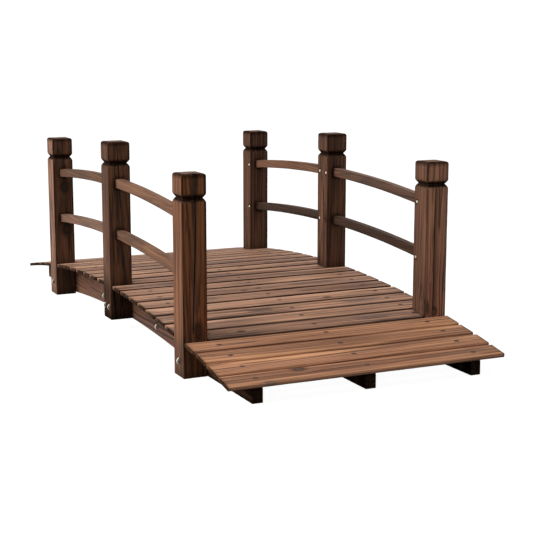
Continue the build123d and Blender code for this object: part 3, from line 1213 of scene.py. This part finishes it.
def build_beam(node):
    """Half of a beam, with its bolt holes. Its foot lies flat on the ground."""
    low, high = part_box(node)
    middle = (low + high) / 2
    end_x = max(low.x, high.x, key=abs)
    direction = math.copysign(1, end_x)
    centre_z = high.z - BEAM_TOP_RADIUS
    foot = direction * ARCH_SPAN / 2
    chamfer = end_x - direction * BEAM_END_CHAMFER
    stations = [s - middle.x for s in sorted([foot, chamfer, *spaced(low.x, high.x, 0.012)])]
    bm = sawn_timber(1, high.x - low.x, high.y - low.y, stations, loops_across=(-0.2, 0.2))
    for vertex in bm.verts:
        x = vertex.co.y + middle.x
        bottom, top = beam_bottom(x), centre_z + beam_top(x, end_x)
        vertex.co.x = bottom + (vertex.co.x + 0.5) * (top - bottom)
    ease(bm, BEAM_EDGE_ROUND, 2)
    wave(bm, BEAM_WAVE, node)
    place = Matrix.Translation((middle.x, middle.y, 0)) @ ON_EDGE
    bolts = bolts_in(node, place)
    bm = carve(bm, bolt_holes(bolts))
    stock = pick_stock(node)
    is_left = "left" in node
    if is_left:
        stock.tone *= 1.12
        stock.warmth = 1.06

    def scorch(points):
        x = points[:, 1] + middle.x
        reach = np.abs(x)
        at_end = eased(reach, abs(end_x) - 0.0012, abs(end_x) - 0.0002)
        # Painted shade under the ramps.
        shade_under_ramp = (0.70 if is_left else 0.97) * eased(reach, 0.53, 0.60) * (1 - at_end)
        # Painted shade on the beam from the middle of its post outwards.
        shade_past_post = 0.85 * eased(reach, 0.43, 0.475)
        if node == "beam_back_left":
            shade_under_ramp *= 0.3
            shade_past_post *= 1 - eased(reach, 0.52, 0.56)
        top = np.array([centre_z + beam_top(each, end_x) for each in x])
        # Painted shade along the top, under the slats.
        shade_under_slats = 0.5 * eased(points[:, 0], top - 0.030, top - 0.008)
        rings = [0.8 * ring_round(points, bolt, BOLT_HEAD_RADIUS) for bolt in bolts]
        sawn_end = (0.90 if is_left else 0.72) * at_end
        return np.maximum.reduce([sawn_end, shade_under_ramp, shade_past_post, shade_under_slats, *rings])

    beam = lay_timber(node + "_board", bm, place, "beam_wood", stock, scorch)
    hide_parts(node)


def build_splice(node):
    """A board that joins the halves of a beam."""
    low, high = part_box(node)
    middle, size = (low + high) / 2, high - low
    stations = spaced(-size.x / 2, size.x / 2, 0.015)
    bm = sawn_timber(size.z, size.x, size.y, stations, loops_across=(-size.z / 6, size.z / 6))
    ease(bm, BEAM_EDGE_ROUND, 2)
    wave(bm, BEAM_WAVE, node)
    place = Matrix.Translation(middle) @ ON_EDGE
    bm = carve(bm, bolt_holes(bolts_in(node, place)))

    def scorch(points):
        return 0.6 * eased(np.abs(points[:, 1]), size.x / 2 - 0.008, size.x / 2)

    splice = lay_timber(node + "_board", bm, place, "beam_wood", pick_stock(node), scorch)
    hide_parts(node)


# Screws and bolts -------------------------------------------------------------------------------


SCREW_SEAT_DEPTH = 0.0040
SCREW_SEAT_SUNK = 0.0005        # of the middle of its cutter, under the wood's face
RAIL_SCREW_SUNK = 0.0003
RECESS_DEPTH = 0.0012           # of the cross in a screw's head
HOLE_LENGTH = 0.26              # more than a post, a beam and a splice are thick together
HOLE_START = 0.03               # in front of the wood
HOLE_CLEARANCE = 0.0002
HEAD_SUNK = 0.0007              # how deep the underside of a bolt's head is pressed into the wood
THREAD_PITCH = 0.0005
THREAD_CORE = 0.86              # radius between the threads, as a share of the bolt's
STAINED_SCREW = ("post_middle_right", "rail_lower_front_right")     # the post and the rail that it holds


@dataclass
class Bolt:
    """A carriage bolt: its place, with Z out of its head, and the thickness of wood that it grips."""

    place: Matrix
    grip: float
    node: str


def turned_to(direction, place):
    """A placing whose Z looks in a direction, from a point."""
    return Matrix.Translation(place) @ Vector(direction).to_track_quat("Z", "Y").to_matrix().to_4x4()


def thickness(*nodes):
    """How thick some boards are together, across the bridge."""
    return sum(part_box(node)[1].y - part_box(node)[0].y for node in nodes)


def carriage_bolts():
    """All the bolts. Those in the posts also hold the beams, and the others hold the splices."""
    bolts = []

    def add(node, spots, outwards, wood):
        """Bolts at (x, z) spots, whose heads lie on the first board of the wood that they grip."""
        low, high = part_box(wood[0])
        face_y = low.y if outwards < 0 else high.y
        for x, z in spots:
            place = turned_to((0, outwards, 0), (x, face_y, z))
            bolts.append(Bolt(place, thickness(*wood), node))

    for post in POST_NODES:
        side = post.split("_")[-1]
        node = f"post_bolts_{side}"
        low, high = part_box(post)
        bolts_low, bolts_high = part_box(node)
        centre_x = (low.x + high.x) / 2
        wood = [post, f"beam_front_{side}"]
        if "middle" in post:
            level = bolts_high.z - BOLT_HEAD_RADIUS
            spots = [(centre_x + MIDDLE_BOLT_X, level), (centre_x - MIDDLE_BOLT_X, level)]
            wood.append(f"splice_{side}")
        else:
            spots = [(centre_x, bolts_low.z + BOLT_HEAD_RADIUS)]
        add(node, spots, SIDES[side], wood)
    for where in ("left", "middle", "right"):
        node = f"beam_bolts_{where}"
        low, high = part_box(node)
        reach, level = high.x - BOLT_HEAD_RADIUS, low.z + BOLT_HEAD_RADIUS
        spots = [(reach, level), (-reach, level)]
        if where == "middle":
            spots += [(x, high.z - BOLT_HEAD_RADIUS) for x in (MIDDLE_BOLT_X, -MIDDLE_BOLT_X)]
        add(node, spots, SIDES.get(where, -1), [f"beam_front_{where}", f"splice_{where}"])
    return bolts


def bolts_in(node, place):
    """Places of the bolts whose shanks go through a solid, in the axes of the timber laid at a place."""
    low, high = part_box(node)
    to_local = place.inverted()
    touching = 0.001
    found = []
    for bolt in carriage_bolts():
        head = bolt.place.translation
        nut_y = head.y - bolt.place.col[2].y * bolt.grip
        is_level = low.x < head.x < high.x and low.z < head.z < high.z
        if is_level and min(head.y, nut_y) < high.y - touching and max(head.y, nut_y) > low.y + touching:
            found.append(to_local @ bolt.place)
    return found


def plugs(places, segments, radii, depth, moved):
    """Cones or rods that are cut out of wood at some places, each moved in its own axes."""
    bm = bmesh.new()
    for place in places:
        bmesh.ops.create_cone(
            bm, cap_ends=True, segments=segments, radius1=radii[0], radius2=radii[1], depth=depth,
            matrix=place @ moved,
        )
    return bm


def screw_seats(places, radius):
    """Shallow cones for screw heads, torn out a little along the grain."""
    torn = Matrix.Translation((0, 0, -SCREW_SEAT_SUNK)) @ Matrix.Diagonal((1, 1.2, 1, 1))
    return plugs(places, 14, (radius * 0.70, radius * 1.45), SCREW_SEAT_DEPTH, torn)


def bolt_holes(places):
    """Long holes for the shanks of bolts."""
    radius = BOLT_RADIUS + HOLE_CLEARANCE
    moved = Matrix.Translation((0, 0, HOLE_START - HOLE_LENGTH / 2))
    return plugs(places, 16, (radius, radius), HOLE_LENGTH, moved)


def ring_round(points, place, radius, reach=0.004):
    """Dark wood round a place: 1 at a radius, and 0 where its reach ends."""
    distance = np.linalg.norm(points - np.array(place.translation), axis=1)
    return 1 - eased(distance, radius, radius + reach)


def joined(shapes):
    """One shape out of several."""
    whole = bmesh.new()
    for shape in shapes:
        mesh = bpy.data.meshes.new("joined")
        shape.to_mesh(mesh)
        shape.free()
        whole.from_mesh(mesh)
        bpy.data.meshes.remove(mesh)
    return whole


def placed(shape, place):
    """A shape moved to its place."""
    bmesh.ops.transform(shape, matrix=place, verts=shape.verts[:])
    return shape


def turned(outline, steps):
    """A closed shape turned round Z from (radius, height) points. Unless it's a ring, its ends are on Z."""
    bm = bmesh.new()
    corners = [bm.verts.new((radius, 0, height)) for radius, height in outline]
    is_ring = outline[0][0] > 0
    following = corners[1:] + corners[:1] if is_ring else corners[1:]
    edges = [bm.edges.new(pair) for pair in zip(corners, following)]
    bmesh.ops.spin(
        bm, geom=corners + edges, cent=(0, 0, 0), axis=(0, 0, 1), angle=math.tau, steps=steps,
        use_merge=True, use_duplicate=False,
    )
    bmesh.ops.remove_doubles(bm, verts=bm.verts[:], dist=1e-6)
    bmesh.ops.recalc_face_normals(bm, faces=bm.faces[:])
    return bm


def screw_head(radius):
    """The flat head of a countersunk screw, with a cross recess. Its face looks along Z, at Z = 0."""
    bm = bmesh.new()
    bmesh.ops.create_grid(bm, x_segments=3, y_segments=3, size=radius * 0.62)
    arm = radius * 0.16
    for vertex in bm.verts:
        for axis in (0, 1):
            if abs(vertex.co[axis]) < radius * 0.4:
                vertex.co[axis] = math.copysign(arm, vertex.co[axis])
        if min(abs(vertex.co.x), abs(vertex.co.y)) > arm * 2:
            vertex.co *= 0.78
    cross = [f for f in bm.faces if min(abs(c) for c in f.calc_center_median()[:2]) < arm]
    rim, edge, neck = (0.96, 0.0), (1.0, -0.0002), (0.45, -0.0024)
    for reach, level in (rim, edge, neck):
        bmesh.ops.extrude_edge_only(bm, edges=[e for e in bm.edges if e.is_boundary])
        for vertex in {v for e in bm.edges if e.is_boundary for v in e.verts}:
            flat = Vector((vertex.co.x, vertex.co.y)).normalized() * radius * reach
            vertex.co = (flat.x, flat.y, level)
    bmesh.ops.contextual_create(bm, geom=[e for e in bm.edges if e.is_boundary])
    recess = bmesh.ops.extrude_face_region(bm, geom=cross)["geom"]
    for vertex in (g for g in recess if isinstance(g, bmesh.types.BMVert)):
        vertex.co = (vertex.co.x * 0.75, vertex.co.y * 0.75, -RECESS_DEPTH)
    bmesh.ops.recalc_face_normals(bm, faces=bm.faces[:])
    return bm


def chamfered_ring(bore, radius, near, far, chamfer_in, chamfer_down):
    """The outline of a washer or a nut, between two levels."""
    return [
        (bore, near), (radius - chamfer_in, near), (radius, near - chamfer_down),
        (radius, far + chamfer_down), (radius - chamfer_in, far), (bore, far),
    ]


def carriage_bolt(grip):
    """A bolt with its washer and nut. Its dome looks along Z, from the wood's face at Z = 0."""
    curve = (BOLT_HEAD_RISE**2 + BOLT_HEAD_RADIUS**2) / (2 * BOLT_HEAD_RISE)
    reach = math.asin(BOLT_HEAD_RADIUS / curve)
    angles = [reach * i / 7 for i in range(7)]
    dome = [(curve * math.sin(a), curve * (math.cos(a) - 1) + BOLT_HEAD_RISE * 0.996) for a in angles]
    skirt = [(BOLT_HEAD_RADIUS, 0.0002), (BOLT_HEAD_RADIUS * 0.98, -HEAD_SUNK), (BOLT_RADIUS, -HEAD_SUNK)]
    washer_bottom = -grip - WASHER_THICKNESS
    nut_top = washer_bottom - NUT_THICKNESS
    end = nut_top - BOLT_TAIL
    thread = [
        (BOLT_RADIUS * (THREAD_CORE if i % 2 else 1), nut_top + (2 - i) * THREAD_PITCH) for i in range(7)
    ]
    bolt = turned([*dome, *skirt, *thread, (BOLT_RADIUS * 0.8, end), (0, end)], 20)
    bore = BOLT_RADIUS * 1.04
    washer = turned(chamfered_ring(bore, WASHER_RADIUS, -grip, washer_bottom, 0.0003, 0.0003), 24)
    corner = NUT_WIDTH / math.sqrt(3)
    nut = turned(chamfered_ring(bore, corner, washer_bottom, nut_top, corner * 0.08, 0.0007), 6)
    return joined([bolt, washer, nut])


def lay_steel(name, bm, slot, smear=nothing):
    """Finishes screws or bolts, whose shapes are already in their places."""
    steelwork = mesh_object(name, bm)
    dress(steelwork, slot)
    write_attribute(steelwork.data, "smear", smear(*surface_of(steelwork.data)))
    return steelwork


def build_deck_screws(settings):
    """The screws of the deck, sunk in the slats and each turned its own way."""
    radius = settings.fixings.screw_head / 2
    sunk = SLAT_THICKNESS / 2 - settings.fixings.screw_depth
    pick = random.Random("deck screws")
    heads = []
    for node in SLAT_NODES:
        for across, along in slat_screws(node):
            turn = Matrix.Rotation(pick.uniform(0, math.pi), 4, "Z")
            place = slat_place(node) @ Matrix.Translation((across, along, sunk)) @ turn
            heads.append(placed(screw_head(radius), place))
    lay_steel("deck_screws", joined(heads), "dark_steel")


def build_rail_screws(settings):
    """The screws in the rails' tenons."""
    radius = settings.fixings.screw_head / 2
    pick = random.Random("rail screws")
    heads, stained = [], None
    for node in POST_NODES:
        for (rail, _), place in zip(rails_of(node), post_screws(node)):
            sunk = Matrix.Translation((0, 0, -RAIL_SCREW_SUNK))
            turn = Matrix.Rotation(pick.uniform(0, math.pi), 4, "Z")
            heads.append(placed(screw_head(radius), place @ sunk @ turn))
            if (node, rail) == STAINED_SCREW:
                stained = place.translation

    def smear(places, normals):
        return 0.9 * (np.linalg.norm(places - stained, axis=1) < 2 * radius)

    lay_steel("rail_screws", joined(heads), "zinc_steel", smear)


def build_bolts():
    """The carriage bolts. Their domes are darkened on the front side, a painted dark reflection."""
    def smear(places, normals):
        # Painted dark reflection on the side of each dome that looks to the front.
        return eased(normals[:, 0], 0.05, 0.40)

    bolts = carriage_bolts()
    for node in sorted({bolt.node for bolt in bolts}):
        shapes = [placed(carriage_bolt(bolt.grip), bolt.place) for bolt in bolts if bolt.node == node]
        steelwork = lay_steel(node + "_steel", joined(shapes), "zinc_steel", smear)
        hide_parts(node)


# Stage ------------------------------------------------------------------------------------------


WHITE = (1, 1, 1, 1)
DULL_FLOOR = (0.14, 0.14, 0.14, 1)      # what the floor is to the light that it sends back up


def build_floor(settings):
    """A pale floor with a faint shadow, which sends little light back up."""
    bm = bmesh.new()
    bmesh.ops.create_grid(bm, x_segments=8, y_segments=8, size=9)
    floor = mesh_object("studio_floor", bm)
    paper = Finish("pale_floor")
    paper.shade(Base_Color=(*settings.floor_colour, 1), Roughness=0.9, Specular_IOR_Level=0.0)
    glow = paper.node("Emission", WHITE, 1.4).outputs[0]
    seen = paper.node("MixShader", 0.32, glow, paper.shader.outputs[0]).outputs[0]
    lit = paper.node("BsdfDiffuse", DULL_FLOOR).outputs[0]
    paper.white_to_the_eye(seen, lit, paper.tree.nodes["Material Output"].inputs["Surface"])
    floor.data.materials.append(paper.material)


def build_sky(settings):
    """Even light from all round, in front of a white backdrop."""
    world = bpy.data.worlds.new("studio")
    world.use_nodes = True
    bpy.context.scene.world = world
    sky = Layout(world.node_tree)
    nodes = world.node_tree.nodes
    lit = nodes["Background"]
    lit.inputs["Color"].default_value = WHITE
    lit.inputs["Strength"].default_value = settings.sky_strength
    seen = sky.node("Background", WHITE, 1.0)
    sky.white_to_the_eye(seen.outputs[0], lit.outputs[0], nodes["World Output"].inputs["Surface"])


def stand(name, data, place):
    """A lamp or a camera in the scene."""
    made = bpy.data.objects.new(name, data)
    made.matrix_world = place
    bpy.context.scene.collection.objects.link(made)
    return made


def soft_light(name, place, aim, size, power):
    """A square lamp that looks at a point."""
    light = bpy.data.lights.new(name, "AREA")
    light.shape, light.size, light.energy = "SQUARE", size, power
    stand(name, light, turned_to(Vector(place) - Vector(aim), place))


def build_camera():
    """A camera at the front left, a little above the rails."""
    azimuth, elevation, distance = math.radians(65.19), math.radians(10.37), 3.4
    aim = Vector((0.0605, 0.0830, 0.1407))
    level = math.cos(elevation)
    back = Vector((math.sin(azimuth) * level, -math.cos(azimuth) * level, math.sin(elevation)))
    data = bpy.data.cameras.new("camera")
    data.sensor_width, data.lens = 36.0, 87.41
    bpy.context.scene.camera = stand("camera", data, turned_to(back, aim + back * distance))


# Operators --------------------------------------------------------------------------------------


class FOOTBRIDGE_OT_slats(bpy.types.Operator):
    """Lay the slats of the deck, with their screw holes"""

    bl_idname = "footbridge.slats"
    bl_label = "Deck Slats"
    bl_options = {"REGISTER", "UNDO"}

    def execute(self, context):
        for node in SLAT_NODES:
            build_slat(node, context.scene.footbridge)
        return {"FINISHED"}


class FOOTBRIDGE_OT_posts(bpy.types.Operator):
    """Set up the grooved posts, with their mortises"""

    bl_idname = "footbridge.posts"
    bl_label = "Posts"
    bl_options = {"REGISTER", "UNDO"}

    def execute(self, context):
        for node in POST_NODES:
            build_post(node, context.scene.footbridge)
        return {"FINISHED"}


class FOOTBRIDGE_OT_rails(bpy.types.Operator):
    """Fit the arched rails into the posts"""

    bl_idname = "footbridge.rails"
    bl_label = "Rails"
    bl_options = {"REGISTER", "UNDO"}

    def execute(self, context):
        for node in RAIL_NODES:
            build_rail(node)
        return {"FINISHED"}


class FOOTBRIDGE_OT_beams(bpy.types.Operator):
    """Lay the arched beams and the boards that join their halves"""

    bl_idname = "footbridge.beams"
    bl_label = "Beams"
    bl_options = {"REGISTER", "UNDO"}

    def execute(self, context):
        for node in BEAM_NODES:
            build_beam(node)
        for node in SPLICE_NODES:
            build_splice(node)
        return {"FINISHED"}


class FOOTBRIDGE_OT_deck_screws(bpy.types.Operator):
    """Screw the slats down to the beams"""

    bl_idname = "footbridge.deck_screws"
    bl_label = "Deck Screws"
    bl_options = {"REGISTER", "UNDO"}

    def execute(self, context):
        build_deck_screws(context.scene.footbridge)
        return {"FINISHED"}


class FOOTBRIDGE_OT_rail_screws(bpy.types.Operator):
    """Screw the rails' tenons into the posts"""

    bl_idname = "footbridge.rail_screws"
    bl_label = "Rail Screws"
    bl_options = {"REGISTER", "UNDO"}

    def execute(self, context):
        build_rail_screws(context.scene.footbridge)
        return {"FINISHED"}


class FOOTBRIDGE_OT_bolts(bpy.types.Operator):
    """Bolt posts, beams and splices together"""

    bl_idname = "footbridge.bolts"
    bl_label = "Carriage Bolts"
    bl_options = {"REGISTER", "UNDO"}

    def execute(self, context):
        build_bolts()
        return {"FINISHED"}


class FOOTBRIDGE_OT_stage(bpy.types.Operator):
    """Make the floor, the lights and the camera"""

    bl_idname = "footbridge.stage"
    bl_label = "Stage"
    bl_options = {"REGISTER", "UNDO"}

    def execute(self, context):
        settings = context.scene.footbridge.stage
        build_floor(settings)
        build_sky(settings)
        soft_light("key_light", (-0.2, -3.5, 2.3), (0, 0, 0.2), 2.2, settings.key_power)
        soft_light("top_light", (0.2, 0.4, 3.4), (0, 0, 0.1), 3.0, settings.top_power)
        build_camera()
        context.scene.view_settings.view_transform = "Standard"
        return {"FINISHED"}


STEPS = (
    FOOTBRIDGE_OT_slats,
    FOOTBRIDGE_OT_posts,
    FOOTBRIDGE_OT_rails,
    FOOTBRIDGE_OT_beams,
    FOOTBRIDGE_OT_deck_screws,
    FOOTBRIDGE_OT_rail_screws,
    FOOTBRIDGE_OT_bolts,
    FOOTBRIDGE_OT_stage,
)


class FOOTBRIDGE_PT_panel(bpy.types.Panel):
    """The steps of the build and what can be changed"""

    bl_label = "Garden Footbridge"
    bl_idname = "FOOTBRIDGE_PT_panel"
    bl_space_type = "VIEW_3D"
    bl_region_type = "UI"
    bl_category = "Footbridge"

    def draw(self, context):
        for step in STEPS:
            self.layout.operator(step.bl_idname)
        settings = context.scene.footbridge
        for group in settings.bl_rna.properties:
            if group.type == "POINTER" and group.identifier != "rna_type":
                box = self.layout.box()
                box.label(text=group.identifier.replace("_", " ").capitalize())
                chosen = getattr(settings, group.identifier)
                for setting in chosen.bl_rna.properties:
                    if setting.identifier not in ("rna_type", "name"):
                        box.prop(chosen, setting.identifier)


CLASSES = (
    DeckWood,
    PostWood,
    RailWood,
    BeamWood,
    DeckSettings,
    PostSettings,
    FixingSettings,
    StageSettings,
    FootbridgeSettings,
    *STEPS,
    FOOTBRIDGE_PT_panel,
)


def register():
    for each in CLASSES:
        bpy.utils.register_class(each)
    bpy.types.Scene.footbridge = PointerProperty(type=FootbridgeSettings)


def unregister():
    del bpy.types.Scene.footbridge
    for each in reversed(CLASSES):
        bpy.utils.unregister_class(each)


def main():
    """Builds the bridge and its stage."""
    register()
    bpy.ops.footbridge.slats()
    bpy.ops.footbridge.posts()
    bpy.ops.footbridge.rails()
    bpy.ops.footbridge.beams()
    bpy.ops.footbridge.deck_screws()
    bpy.ops.footbridge.rail_screws()
    bpy.ops.footbridge.bolts()
    bpy.ops.footbridge.stage()


if __name__ == "__main__":
    main()
